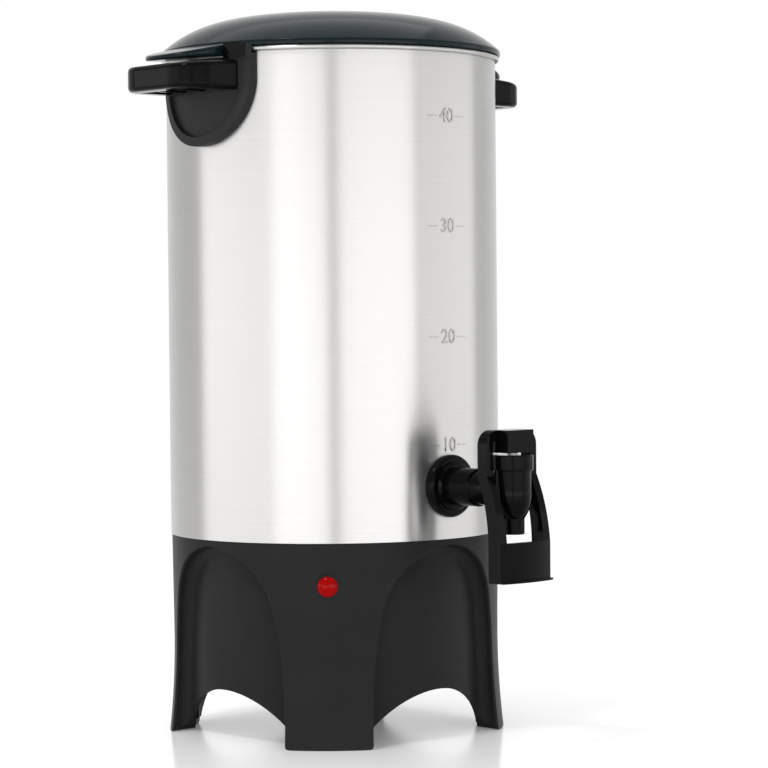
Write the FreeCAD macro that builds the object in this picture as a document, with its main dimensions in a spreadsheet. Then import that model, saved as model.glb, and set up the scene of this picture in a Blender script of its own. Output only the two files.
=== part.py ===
import FreeCAD, Part
import math
import os

import Sketcher

# Coffee urn: a brushed steel tank on a black moulded base with four arched sides, two side handles,
# a domed lid with locking ears, a self-closing tap with a stirrup lever, and the percolator inside.
# Millimetres. The origin is on the worktop at the tank's axis, +Z up. The tap points to -Y, the
# handles to -X and +X, and the feet stand on the diagonals.

doc = FreeCAD.newDocument("CoffeeUrn")
sheet = doc.addObject("Spreadsheet::Sheet", "Sizes")
sheetRows = []
nodes = []


# A size that knows both its number and the sheet expression that gives it
class Dim:
    def __init__(self, value, text=None):
        self.value = float(value)
        self.text = text or "(%.10g)" % self.value

    def join(self, sign, other, value):
        return Dim(value, "(%s %s %s)" % (self.text, sign, other.text))

    def __add__(self, other):
        return self.join("+", dim(other), self.value + dim(other).value)

    def __sub__(self, other):
        return self.join("-", dim(other), self.value - dim(other).value)

    def __mul__(self, other):
        return self.join("*", dim(other), self.value * dim(other).value)

    def __truediv__(self, other):
        return self.join("/", dim(other), self.value / dim(other).value)

    def __neg__(self):
        return dim(0) - self

    def __rsub__(self, other):
        return dim(other) - self


def dim(number):
    return number if isinstance(number, Dim) else Dim(number)


def root(square):
    return Dim(math.sqrt(square.value), "sqrt(%s)" % square.text)


def sine(angle):
    return Dim(math.sin(math.radians(angle.value)), "sin(%s * 1 deg)" % angle.text)


def cosine(angle):
    return Dim(math.cos(math.radians(angle.value)), "cos(%s * 1 deg)" % angle.text)


def reach(radius, offset):
    return root(radius * radius - offset * offset)


# The arc radius that spans a chord of this half width with this rise
def archRadius(half, rise):
    return (half * half + rise * rise) / (rise * 2)


def size(name, value):
    row = len(sheetRows) + 1
    sheetRows.append(name)
    sheet.set("A%d" % row, name)
    sheet.set("B%d" % row, str(value))
    sheet.setAlias("B%d" % row, name)
    return Dim(value, "Sizes." + name)


# Tank
tankRadius = size("tank_radius", 90.0)
wallThick = size("wall_thick", 0.8)
tankLow = size("tank_low", 107.6)
rimTop = size("rim_top", 365.9)
beadRadius = size("bead_radius", 1.3)
beadReach = size("bead_reach", 2.2)
floorTop = size("floor_top", 101.0)
floorStep = size("floor_step", 11.8)
panLip = size("pan_lip", 6.4)
wellRadius = size("well_radius", 23.0)
wellDepth = size("well_depth", 8.0)

# Base moulding
baseWall = size("base_wall", 2.5)
baseTopInset = size("base_top_inset", 0.5)
baseWaistInset = size("base_waist_inset", 1.1)
baseWaistHeight = size("base_waist_height", 58.0)
baseFootFlare = size("base_foot_flare", 1.7)
baseFlareBend = size("base_flare_bend", 460.0)
toeThick = size("toe_thick", 3.0)
toeCorner = size("toe_corner", 3.0)
accessRadius = size("access_radius", 3.8)
archTop = size("arch_top", 104.0)
archShoulderHalf = size("arch_shoulder_half", 37.0)
archShoulderHeight = size("arch_shoulder_height", 76.5)
archHipHalf = size("arch_hip_half", 42.5)
archHipHeight = size("arch_hip_height", 45.0)
archFootHalf = size("arch_foot_half", 45.7)
archSideBend = size("arch_side_bend", 160.0)
recessDepth = size("recess_depth", 9.5)
recessCorner = size("recess_corner", 5.0)
archEdge = size("arch_edge", 1.0)
scoopHalf = size("scoop_half", 45.4)
scoopTop = size("scoop_top", 27.4)
bossRadius = size("boss_radius", 5.0)
bossSink = size("boss_sink", 0.6)
bossTall = size("boss_tall", 18.0)

# Underside cover, stud and heater
coverThick = size("cover_thick", 2.5)
coverHeight = size("cover_height", 30.0)
coverGap = size("cover_gap", 0.4)
lugSide = size("lug_side", 1.2)
studRadius = size("stud_radius", 3.0)
studTail = size("stud_tail", 3.0)
studGap = size("stud_gap", 0.2)
nutFlats = size("nut_flats", 10.0)
nutThick = size("nut_thick", 5.0)
heaterWidth = size("heater_width", 9.0)
plateThick = size("plate_thick", 1.0)
plateBrim = size("plate_brim", 2.0)
thermostatRadius = size("thermostat_radius", 8.0)
thermostatTall = size("thermostat_tall", 9.0)
thermostatPlace = size("thermostat_place", 50.0)
terminalWide = size("terminal_wide", 6.3)
terminalThick = size("terminal_thick", 0.8)
terminalTall = size("terminal_tall", 7.0)
smallScrewRadius = size("small_screw_radius", 1.6)
smallScrewHead = size("small_screw_head", 3.2)
screwHeadTall = size("screw_head_tall", 2.0)
smallScrewLong = size("small_screw_long", 12.0)

# Pilot light and power inlet
footAngle = size("foot_angle", 45.0)
pilotHeight = size("pilot_height", 85.0)
pilotLensRadius = size("pilot_lens_radius", 5.35)
pilotDome = size("pilot_dome", 2.2)
pilotBarrelRadius = size("pilot_barrel_radius", 4.6)
pilotBarrelLong = size("pilot_barrel_long", 9.0)
pilotWall = size("pilot_wall", 1.0)
lampRadius = size("lamp_radius", 3.3)
lampLong = size("lamp_long", 16.0)
lampSink = size("lamp_sink", 5.0)
dimpleRadius = size("dimple_radius", 7.4)
dimpleDepth = size("dimple_depth", 0.7)
inletHeight = size("inlet_height", 62.0)
inletWide = size("inlet_wide", 28.0)
inletTall = size("inlet_tall", 16.0)
inletWall = size("inlet_wall", 2.0)
inletDeep = size("inlet_deep", 20.0)
inletFlange = size("inlet_flange", 3.0)
inletFlangeThick = size("inlet_flange_thick", 1.6)
pinRadius = size("pin_radius", 2.4)
pinSpacing = size("pin_spacing", 12.7)
pinLong = size("pin_long", 14.0)
pinTail = size("pin_tail", 5.0)

# Side handles
shieldHalf = size("shield_half", 34.6)
shieldTop = size("shield_top", 360.6)
shieldBend = size("shield_bend", 349.7)
shieldThick = size("shield_thick", 5.0)
shieldBorder = size("shield_border", 4.8)
dishDepth = size("dish_depth", 2.4)
gripHalf = size("grip_half", 30.0)
gripReach = size("grip_reach", 126.0)
gripCorner = size("grip_corner", 17.0)
gripLow = size("grip_low", 343.3)
gripRootTop = size("grip_root_top", 359.8)
gripTipTop = size("grip_tip_top", 356.2)
gripRound = size("grip_round", 2.6)
fingerPitch = size("finger_pitch", 15.0)
fingerRadius = size("finger_radius", 9.0)
fingerDepth = size("finger_depth", 2.6)
stopStart = size("stop_start", 22.2)
stopWide = size("stop_wide", 8.4)
stopTop = size("stop_top", 367.8)
stopThick = size("stop_thick", 8.0)
lugWide = size("lug_wide", 4.0)
lugLow = size("lug_low", 360.4)
rimGap = size("rim_gap", 1.0)
handleScrewAngle = size("handle_screw_angle", 9.5)
handleScrewHeight = size("handle_screw_height", 351.0)
handleScrewRadius = size("handle_screw_radius", 1.95)
handleScrewHead = size("handle_screw_head", 3.8)
handleScrewLong = size("handle_screw_long", 14.0)
screwGap = size("screw_gap", 0.05)

# Lid
lidGap = size("lid_gap", 0.3)
lidEdgeRadius = size("lid_edge_radius", 92.8)
lidLipTall = size("lid_lip_tall", 2.6)
lidThick = size("lid_thick", 2.4)
lidRise = size("lid_rise", 23.1)
lidCrownHalf = size("lid_crown_half", 45.0)
lidCrownDrop = size("lid_crown_drop", 1.7)
lidShoulderBend = size("lid_shoulder_bend", 75.0)
skirtRadius = size("skirt_radius", 86.0)
skirtThick = size("skirt_thick", 2.0)
skirtDeep = size("skirt_deep", 4.6)
skirtTall = size("skirt_tall", 6.2)
sealGap = size("seal_gap", 0.06)
sealTankGap = size("seal_tank_gap", 0.3)
sealDeep = size("seal_deep", 6.4)
sealHold = size("seal_hold", 0.3)
earReach = size("ear_reach", 123.0)
earHalf = size("ear_half", 21.5)
earRootTop = size("ear_root_top", 1.5)
earRootLow = size("ear_root_low", 4.9)
earTipTop = size("ear_tip_top", 5.0)
earTipLow = size("ear_tip_low", 7.0)
earBend = size("ear_bend", 90.0)
earRound = size("ear_round", 0.8)
earLap = size("ear_lap", 0.2)

# Tap
tapHeight = size("tap_height", 135.5)
barrelPlace = size("barrel_place", 136.0)
shankRadius = size("shank_radius", 9.95)
shankNeckRadius = size("shank_neck_radius", 8.95)
shankStep = size("shank_step", 112.0)
shankBore = size("shank_bore", 4.5)
threadRadius = size("thread_radius", 7.7)
threadEnd = size("thread_end", 76.0)
tapHoleGap = size("tap_hole_gap", 0.3)
flangeRadius = size("flange_radius", 16.5)
flangeThick = size("flange_thick", 4.0)
flangeStep = size("flange_step", 13.0)
flangeRing = size("flange_ring", 11.2)
flangeEdge = size("flange_edge", 2.2)
gasketRadius = size("gasket_radius", 12.5)
gasketThick = size("gasket_thick", 3.4)
tapNutFlats = size("tap_nut_flats", 22.0)
tapNutThick = size("tap_nut_thick", 5.0)
nozzleRadius = size("nozzle_radius", 6.0)
nozzleBore = size("nozzle_bore", 4.4)
nozzleLow = size("nozzle_low", 112.5)
nozzleTop = size("nozzle_top", 120.6)
bulbRadius = size("bulb_radius", 9.6)
bulbBend = size("bulb_bend", 20.0)
bulbWaist = size("bulb_waist", 135.0)
collarLow = size("collar_low", 145.3)
collarTop = size("collar_top", 153.5)
collarRadius = size("collar_radius", 10.75)
collarRoof = size("collar_roof", 2.0)
collarEdge = size("collar_edge", 0.8)
neckRadius = size("neck_radius", 8.4)
chamberRadius = size("chamber_radius", 6.8)
seatHeight = size("seat_height", 124.0)
cupRadius = size("cup_radius", 5.8)
cupWall = size("cup_wall", 1.0)
cupFoot = size("cup_foot", 2.0)
cupRimThick = size("cup_rim_thick", 1.2)
stemRadius = size("stem_radius", 2.5)
stemGap = size("stem_gap", 0.08)
stemFootRadius = size("stem_foot_radius", 3.6)
stemFootThick = size("stem_foot_thick", 1.6)
stemTop = size("stem_top", 163.2)
springWire = size("spring_wire", 0.7)
springCoil = size("spring_coil", 3.5)
springTurns = size("spring_turns", 6)
springSeatGap = size("spring_seat_gap", 0.1)

# Tap lever
pivotHeight = size("pivot_height", 160.0)
leverPinRadius = size("lever_pin_radius", 1.25)
leverPinGap = size("lever_pin_gap", 0.06)
leverPinHalf = size("lever_pin_half", 8.8)
leverTop = size("lever_top", 166.3)
leverHalf = size("lever_half", 18.4)
strapThick = size("strap_thick", 4.8)
leverCorner = size("lever_corner", 8.0)
blockHalf = size("block_half", 9.5)
blockLow = size("block_low", 154.6)
blockFront = size("block_front", 142.0)
blockSlotGap = size("block_slot_gap", 0.3)
slotFront = size("slot_front", 4.8)
slotBack = size("slot_back", 4.0)
slotRoof = size("slot_roof", 1.0)
bridgeLow = size("bridge_low", 160.6)
strapBack = size("strap_back", 128.9)
strapFront = size("strap_front", 135.4)
strapKnee = size("strap_knee", 143.0)
strapFoot = size("strap_foot", 108.0)
strapFootBack = size("strap_foot_back", 136.2)
strapFootFront = size("strap_foot_front", 144.9)
strapBend = size("strap_bend", 95.0)
panelLow = size("panel_low", 88.3)
panelTop = size("panel_top", 109.0)
panelThick = size("panel_thick", 2.4)
panelBow = size("panel_bow", 2.2)
panelLip = size("panel_lip", 1.9)
panelLipThick = size("panel_lip_thick", 1.2)

# Percolator
pumpRadius = size("pump_radius", 5.0)
pumpWall = size("pump_wall", 0.8)
pumpTop = size("pump_top", 366.0)
pumpFootHigh = size("pump_foot_high", 24.0)
pumpFootRadius = size("pump_foot_radius", 21.0)
pumpFootGap = size("pump_foot_gap", 0.2)
sheetThick = size("sheet_thick", 0.8)
basketRadius = size("basket_radius", 52.0)
basketLow = size("basket_low", 285.0)
basketTall = size("basket_tall", 62.0)
basketGap = size("basket_gap", 0.3)
collarBrim = size("collar_brim", 2.2)
sleeveTall = size("sleeve_tall", 58.0)
coverBrim = size("cover_brim", 4.0)
sieveHole = size("sieve_hole", 1.6)
sieveRings = size("sieve_rings", 3)
sievePitch = size("sieve_pitch", 12.0)

doc.recompute()

# Derived places that several pieces share
wallInner = tankRadius - wallThick
baseTopRadius = tankRadius - baseTopInset
baseWaistRadius = tankRadius - baseWaistInset
baseFootRadius = tankRadius + baseFootFlare
recessRadius = tankRadius - recessDepth
recessInner = recessRadius - baseWall
floorUnder = floorTop - wallThick
wellUnder = floorUnder - wellDepth
coverTop = coverHeight + coverThick
footPlace = baseWaistRadius - baseWall
bossPlace = footPlace - bossRadius + bossSink
lidLow = rimTop + lidGap
lidEdgeTop = lidLow + lidLipTall
lidApex = lidLow + lidRise
lidCrownLow = lidApex - lidCrownDrop
flangeFace = tankRadius + flangeThick
nutFace = wallInner - gasketThick
sealTop = lidLow


# Building tools
def bind(thing, prop, amount):
    thing.setExpression(prop, dim(amount).text)
    return thing


def place(thing, x=0, y=0, z=0, axis=(0, 0, 1), angle=0):
    spin = dim(angle)
    thing.Placement = FreeCAD.Placement(
        FreeCAD.Vector(dim(x).value, dim(y).value, dim(z).value),
        FreeCAD.Rotation(FreeCAD.Vector(*axis), spin.value),
    )
    for letter, amount in (("x", x), ("y", y), ("z", z)):
        bind(thing, ".Placement.Base." + letter, amount)
    if "Sizes." in spin.text:
        bind(thing, ".Placement.Rotation.Angle", spin)
    return thing


def originPlane(body, role):
    return next(item for item in body.Origin.OriginFeatures if item.Role == role)


def arcBetween(start, end, bend):
    middle = (start + end) * 0.5
    half = (end - start).Length / 2
    along = (end - start).normalize()
    left = FreeCAD.Vector(-along.y, along.x, 0)
    side = 1 if bend > 0 else -1
    centre = middle + left * (side * math.sqrt(bend * bend - half * half))
    first, last = (start, end) if side > 0 else (end, start)
    turn = [math.atan2((p - centre).y, (p - centre).x) for p in (first, last)]
    if turn[1] < turn[0]:
        turn[1] += 2 * math.pi
    circle = Part.Circle(centre, FreeCAD.Vector(0, 0, 1), abs(bend))
    return Part.ArcOfCircle(circle, turn[0], turn[1])


# A closed outline of corners (x, y), or (x, y, bend) where an arc of that radius leads to the next
# corner: a positive bend has its centre on the left. A corner's place is bound to the sheet.
def drawOutline(sketch, corners):
    base = sketch.GeometryCount
    count = len(corners)
    spots = [FreeCAD.Vector(dim(c[0]).value, dim(c[1]).value, 0) for c in corners]
    bends = [dim(c[2]) if len(c) > 2 else None for c in corners]
    shapes = []
    for i, bend in enumerate(bends):
        start, end = spots[i], spots[(i + 1) % count]
        shapes.append(Part.LineSegment(start, end) if bend is None else arcBetween(start, end, bend.value))
    sketch.addGeometry(shapes, False)
    heads = [2 if bend is not None and bend.value < 0 else 1 for bend in bends]
    tails = [3 - head for head in heads]
    rules = []
    texts = []
    for i in range(count):
        follower = (i + 1) % count
        rules.append(Sketcher.Constraint("Coincident", base + i, tails[i], base + follower, heads[follower]))
        texts.append(None)
        for letter, amount, spot in (("X", corners[i][0], spots[i].x), ("Y", corners[i][1], spots[i].y)):
            rules.append(Sketcher.Constraint("Distance" + letter, -1, 1, base + i, heads[i], spot))
            texts.append(dim(amount).text)
        if bends[i] is not None:
            rules.append(Sketcher.Constraint("Radius", base + i, abs(bends[i].value)))
            texts.append(bends[i].text if bends[i].value > 0 else "(0 - %s)" % bends[i].text)
    addRules(sketch, rules, texts)


def drawCircle(sketch, x, y, radius):
    base = sketch.GeometryCount
    centre = FreeCAD.Vector(dim(x).value, dim(y).value, 0)
    sketch.addGeometry(Part.Circle(centre, FreeCAD.Vector(0, 0, 1), dim(radius).value), False)
    rules = [
        Sketcher.Constraint("DistanceX", -1, 1, base, 3, centre.x),
        Sketcher.Constraint("DistanceY", -1, 1, base, 3, centre.y),
        Sketcher.Constraint("Radius", base, dim(radius).value),
    ]
    addRules(sketch, rules, [dim(x).text, dim(y).text, dim(radius).text])


def addRules(sketch, rules, texts):
    first = sketch.ConstraintCount
    sketch.addConstraint(rules)
    for i, text in enumerate(texts):
        if text and "Sizes." in text:
            sketch.setExpression("Constraints[%d]" % (first + i), text)


def newSketch(body, role, outline, lift=0):
    sketch = body.newObject("Sketcher::SketchObject", body.Name + "Profile")
    sketch.AttachmentSupport = [(originPlane(body, role), "")]
    sketch.MapMode = "FlatFace"
    bind(sketch, ".AttachmentOffset.Base.z", lift)
    if len(outline) == 1:
        drawCircle(sketch, *outline[0])
    else:
        drawOutline(sketch, outline)
    return sketch


# A body turned about its own Z axis from an outline of (radius, height) corners
def revolved(label, outline):
    body = doc.addObject("PartDesign::Body", label)
    sketch = newSketch(body, "XZ_Plane", outline)
    turned = body.newObject("PartDesign::Revolution", label + "Turn")
    turned.Profile = sketch
    turned.ReferenceAxis = (sketch, ["V_Axis"])
    turned.Angle = 360
    body.Tip = turned
    return body


# A body padded from an outline on an origin plane, starting at a height above that plane. The pad
# runs to +Z from XY_Plane, to -Y from XZ_Plane and to +X from YZ_Plane.
def padded(label, role, outline, start, length):
    body = doc.addObject("PartDesign::Body", label)
    sketch = newSketch(body, role, outline, start)
    pad = body.newObject("PartDesign::Pad", label + "Pad")
    pad.Profile = sketch
    bind(pad, "Length", length)
    body.Tip = pad
    return body


def ring(label, inner, outer, low, high):
    return revolved(label, [(inner, low), (outer, low), (outer, high), (inner, high)])


def cylinder(label, radius, length):
    rod = doc.addObject("Part::Cylinder", label)
    bind(rod, "Radius", radius)
    bind(rod, "Height", length)
    return rod


# A cylinder along the outward direction at a compass angle about the tank's axis
def radialRod(label, radius, start, length, height, angle):
    rod = cylinder(label, radius, length)
    return placeRadial(rod, start, height, angle)


# Sets a thing that was made along +Z so that it points outward at a compass angle
def placeRadial(thing, start, height, angle):
    angle = dim(angle)
    outward = FreeCAD.Rotation(FreeCAD.Vector(0, 0, 1), angle.value)
    tip = FreeCAD.Rotation(FreeCAD.Vector(0, 1, 0), 90)
    thing.Placement = FreeCAD.Placement(FreeCAD.Vector(0, 0, 0), outward.multiply(tip))
    bind(thing, ".Placement.Base.x", dim(start) * cosine(angle))
    bind(thing, ".Placement.Base.y", dim(start) * sine(angle))
    bind(thing, ".Placement.Base.z", height)
    return thing


def cut(label, base, *tools):
    result = doc.addObject("Part::Cut", label)
    result.Base = base
    result.Tool = tools[0] if len(tools) == 1 else fuse(label + "Tools", *tools)
    return result


def fuse(label, *pieces):
    result = doc.addObject("Part::MultiFuse", label)
    result.Shapes = list(pieces)
    return result


def common(label, *pieces):
    result = doc.addObject("Part::MultiCommon", label)
    result.Shapes = list(pieces)
    return result


def group(label, pieces):
    result = doc.addObject("Part::Compound", label)
    result.Links = list(pieces)
    return result


# Rounds those edges of a thing whose middle point passes the test
def rounded(label, base, radius, test):
    doc.recompute()
    picks = []
    for i, edge in enumerate(base.Shape.Edges):
        middle = edge.valueAt((edge.FirstParameter + edge.LastParameter) / 2)
        if test(edge, middle):
            picks.append((i + 1, radius.value, radius.value))
    result = doc.addObject("Part::Fillet", label)
    result.Base = base
    result.Edges = picks
    return result


def radial(point):
    return math.hypot(point.x, point.y)


def hexagon(label, flats, low, tall):
    side = dim(flats) / math.sqrt(3)
    half = dim(flats) / 2
    corners = [
        (side, 0),
        (side / 2, half),
        (-side / 2, half),
        (-side, 0),
        (-side / 2, -half),
        (side / 2, -half),
    ]
    return padded(label, "XY_Plane", corners, low, tall)


# Two rings of copies about an axis, used for the sieve holes
def sieve(label, low, tall):
    holes = []
    for lap in range(1, int(sieveRings.value) + 1):
        distance = pumpRadius + basketGap + sievePitch * lap
        copies = 8 * lap
        for i in range(copies):
            turn = 2 * math.pi * i / copies
            hole = cylinder("%s%d_%d" % (label, lap, i), sieveHole, tall)
            place(hole, distance * math.cos(turn), distance * math.sin(turn), low)
            holes.append(hole)
    return group(label, holes)


def keep(thing):
    nodes.append(thing)
    return thing


# Tank wall with its rolled rim, the tap's hole and the handle screws' holes
beadCentre = tankRadius + beadReach - beadRadius
beadHeight = rimTop - beadRadius
beadMeet = reach(beadRadius, beadCentre - tankRadius)
curl = beadCentre - wallInner
wallBlank = revolved(
    "wall_blank",
    [
        (wallInner, tankLow),
        (tankRadius, tankLow),
        (tankRadius, beadHeight - beadMeet, beadRadius),
        (beadCentre + beadRadius, beadHeight, beadRadius),
        (beadCentre, rimTop, curl),
        (wallInner, rimTop - curl),
    ],
)
tapHole = radialRod("tap_hole", threadRadius + tapHoleGap, threadEnd, tankRadius - threadEnd + flangeThick, tapHeight, 270)
screwHoles = [
    radialRod("screw_hole_%d" % side, handleScrewRadius + screwGap, -tankRadius * 2, tankRadius * 4,
              handleScrewHeight, handleScrewAngle * side)
    for side in (-1, 1)
]
keep(cut("tank_wall", wallBlank, tapHole, *screwHoles))

# Pressed tank bottom: a lip inside the wall, a step that rests on the base, and the heating well
stepRadius = wallInner - floorStep
keep(revolved(
    "tank_bottom",
    [
        (0, wellUnder),
        (wellRadius + wallThick, wellUnder),
        (wellRadius + wallThick, floorUnder),
        (stepRadius, floorUnder),
        (stepRadius, tankLow),
        (wallInner, tankLow),
        (wallInner, tankLow + panLip),
        (wallInner - wallThick, tankLow + panLip),
        (wallInner - wallThick, tankLow + wallThick),
        (stepRadius - wallThick, tankLow + wallThick),
        (stepRadius - wallThick, floorTop),
        (wellRadius, floorTop),
        (wellRadius, wellUnder + wallThick),
        (0, wellUnder + wallThick),
    ],
))


# The base's outer form, or its inside when the wall is taken off
def baseForm(label, skin, low):
    return revolved(
        label,
        [
            (0, low),
            (baseFootRadius - skin, low, -baseFlareBend),
            (baseWaistRadius - skin, baseWaistHeight),
            (baseTopRadius - skin, tankLow),
            (0, tankLow),
        ],
    )


# One arched opening's outline, grown outward by a skin for the inside of its wall
def archOutline(skin, low):
    shoulder = archShoulderHalf + skin
    hip = archHipHalf + skin
    foot = archFootHalf + skin
    top = archRadius(shoulder, archTop + skin - archShoulderHeight)
    return [
        (foot, low),
        (hip, archHipHeight, archSideBend),
        (shoulder, archShoulderHeight, top),
        (-shoulder, archShoulderHeight, archSideBend),
        (-hip, archHipHeight),
        (-foot, low),
    ]


def archTools(label, skin, low, floorRadius):
    start = -tankRadius * 2
    length = tankRadius * 4
    along = [
        padded(label + "_across", "YZ_Plane", archOutline(skin, low), start, length),
        padded(label + "_along", "XZ_Plane", archOutline(skin, low), start, length),
    ]
    core = cylinder(label + "_core", floorRadius, archTop * 2)
    place(core, 0, 0, -archTop / 2)
    return cut(label, fuse(label + "_both", *along), core)


# The rounded bottom corners of the legs beside each arch
toeOutline = [
    (archFootHalf, toeCorner, toeCorner),
    (archFootHalf + toeCorner, 0),
    (archFootHalf + toeCorner, -toeCorner),
    (-archFootHalf - toeCorner, -toeCorner),
    (-archFootHalf - toeCorner, 0, toeCorner),
    (-archFootHalf, toeCorner),
]
toeCuts = [
    padded("toe_cut_across", "YZ_Plane", toeOutline, -tankRadius * 2, tankRadius * 4),
    padded("toe_cut_along", "XZ_Plane", toeOutline, -tankRadius * 2, tankRadius * 4),
]

# Base moulding: an arched shell, hollow legs with closed toes, and scooped recess walls
recesses = archTools("recesses", dim(0), -toeCorner, recessRadius)
baseOutside = cut("base_outside", baseForm("base_form", dim(0), 0), recesses)


def isRecessCorner(edge, middle):
    onFloor = abs(radial(middle) - recessRadius.value) < 0.05
    return onFloor and 0.5 < middle.z < archTop.value + 0.5 and edge.Length > 1


baseSoft = rounded("base_soft", baseOutside, recessCorner, isRecessCorner)


def isArchEdge(edge, middle):
    outside = radial(middle) > baseWaistRadius.value - 0.6
    return outside and 0.5 < middle.z < tankLow.value - 1 and abs(abs(middle.x) - abs(middle.y)) > 1 and edge.Length > 1


baseRim = rounded("base_rim", baseSoft, archEdge, isArchEdge)
baseHollow = cut(
    "base_hollow",
    baseForm("base_hollow_form", baseWall, toeThick),
    archTools("recess_backs", baseWall, dim(0), recessInner),
)
baseCore = cylinder("base_core", recessInner, tankLow)
place(baseCore, 0, 0, -toeThick)
scoopRadius = archRadius(scoopHalf, scoopTop)
scoops = [cylinder("scoop_across", scoopRadius, tankRadius * 4), cylinder("scoop_along", scoopRadius, tankRadius * 4)]
place(scoops[0], -tankRadius * 2, 0, scoopTop - scoopRadius, (0, 1, 0), 90)
place(scoops[1], 0, tankRadius * 2, scoopTop - scoopRadius, (1, 0, 0), 90)
bosses = []
bossHoles = []
for i in range(4):
    angle = footAngle + 90 * i
    boss = cylinder("boss_%d" % i, bossRadius, bossTall)
    place(boss, bossPlace * cosine(angle), bossPlace * sine(angle), coverTop)
    bosses.append(boss)
    hole = cylinder("boss_hole_%d" % i, smallScrewRadius + screwGap, smallScrewLong)
    place(hole, bossPlace * cosine(angle), bossPlace * sine(angle), coverTop - coverThick)
    access = cylinder("toe_access_%d" % i, accessRadius, toeThick * 2)
    place(access, bossPlace * cosine(angle), bossPlace * sine(angle), -toeThick / 2)
    bossHoles += [hole, access]


# The base's outer radius at a height above its waist
def baseFace(height):
    rise = (height - baseWaistHeight) / (tankLow - baseWaistHeight)
    return baseWaistRadius + (baseTopRadius - baseWaistRadius) * rise


pilotFace = baseFace(pilotHeight)
inletFace = baseFace(inletHeight + inletTall / 2 + inletFlange)
lensHole = radialRod("lens_hole", pilotBarrelRadius, pilotFace - pilotBarrelLong, pilotBarrelLong * 2, pilotHeight, footAngle + 180)
lensDimple = revolved(
    "lens_dimple",
    [
        (0, 0),
        (pilotLensRadius, 0),
        (dimpleRadius, dimpleDepth),
        (dimpleRadius, pilotDome * 2),
        (0, pilotDome * 2),
    ],
)
placeRadial(lensDimple, pilotFace - dimpleDepth, pilotHeight, footAngle + 180)


# A slot with round ends across the direction that it points, from its back to its length
def stadium(label, wide, tall, length):
    straight = (dim(wide) - dim(tall)) / 2
    end = dim(tall) / 2
    corners = [
        (-end, straight, -end),
        (0, straight + end, -end),
        (end, straight),
        (end, -straight, -end),
        (0, -straight - end, -end),
        (-end, -straight),
    ]
    return padded(label, "XY_Plane", corners, 0, length)


inletHole = stadium("inlet_hole", inletWide, inletTall, baseWall * 4)
placeRadial(inletHole, inletFace - baseWall * 2, inletHeight, footAngle)
baseShelled = cut("base_shelled", baseRim, baseHollow, baseCore, *scoops, *toeCuts)
keep(cut("base_shell", fuse("base_bossed", baseShelled, *bosses), *bossHoles, lensHole, lensDimple, inletHole))

# Underside cover with a lug in each leg, its screws, and the stud that pulls it up
lugs = []
coverHoles = []
coverScrews = []
for i in range(4):
    angle = footAngle + 90 * i
    spot = (bossPlace * cosine(angle), bossPlace * sine(angle))
    lugHalf = bossRadius - lugSide
    lug = padded(
        "cover_lug_%d" % i,
        "XY_Plane",
        [
            (recessInner - bossRadius, -lugHalf),
            (bossPlace, -lugHalf, lugHalf),
            (bossPlace + lugHalf, 0, lugHalf),
            (bossPlace, lugHalf),
            (recessInner - bossRadius, lugHalf),
        ],
        coverHeight,
        coverThick,
    )
    place(lug, 0, 0, 0, (0, 0, 1), angle)
    lugs.append(lug)
    hole = cylinder("cover_hole_%d" % i, smallScrewRadius + screwGap, coverThick)
    place(hole, *spot, coverHeight)
    coverHoles.append(hole)
    screw = revolved(
        "cover_screw_%d" % i,
        [
            (0, -screwHeadTall),
            (smallScrewHead, -screwHeadTall),
            (smallScrewHead, 0),
            (smallScrewRadius, 0),
            (smallScrewRadius, smallScrewLong - coverThick),
            (0, smallScrewLong - coverThick),
        ],
    )
    place(screw, *spot, coverHeight)
    coverScrews.append(screw)
coverDisc = cylinder("cover_disc", recessInner - coverGap, coverThick)
place(coverDisc, 0, 0, coverHeight)
studHole = cylinder("stud_hole", studRadius + studGap, coverThick)
place(studHole, 0, 0, coverHeight)
keep(cut("base_cover", fuse("cover_plate", coverDisc, *lugs), *coverHoles, studHole))
keep(group("cover_screws", coverScrews))
stud = cylinder("centre_stud", studRadius, wellUnder - coverHeight + nutThick + studTail)
place(stud, 0, 0, coverHeight - nutThick - studTail)
keep(stud)
for label, low in (("stud_nut", coverHeight - nutThick), ("heater_nut", wellUnder - plateThick - nutThick)):
    nutBore = cylinder(label + "_bore", studRadius, nutThick)
    place(nutBore, 0, 0, low)
    keep(cut(label, hexagon(label + "_blank", nutFlats, low, nutThick), nutBore))

# Ring heater round the well and the plate that clamps it
wellOuter = wellRadius + wallThick
keep(ring("heater_ring", wellOuter, wellOuter + heaterWidth, wellUnder, floorUnder))
keep(ring("heater_plate", studRadius, wellOuter + heaterWidth + plateBrim, wellUnder - plateThick, wellUnder))

# Thermostat against the tank's floor, with two blade terminals
thermostatCan = cylinder("thermostat_can", thermostatRadius, thermostatTall)
place(thermostatCan, 0, thermostatPlace, floorUnder - thermostatTall)
blades = []
for side in (-1, 1):
    blade = doc.addObject("Part::Box", "blade_%d" % side)
    bind(blade, "Length", terminalThick)
    bind(blade, "Width", terminalWide)
    bind(blade, "Height", terminalTall)
    bladePlace = thermostatRadius / 2 * side - terminalThick / 2
    place(blade, bladePlace, thermostatPlace - terminalWide / 2, floorUnder - thermostatTall - terminalTall)
    blades.append(blade)
keep(fuse("thermostat", thermostatCan, *blades))

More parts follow.
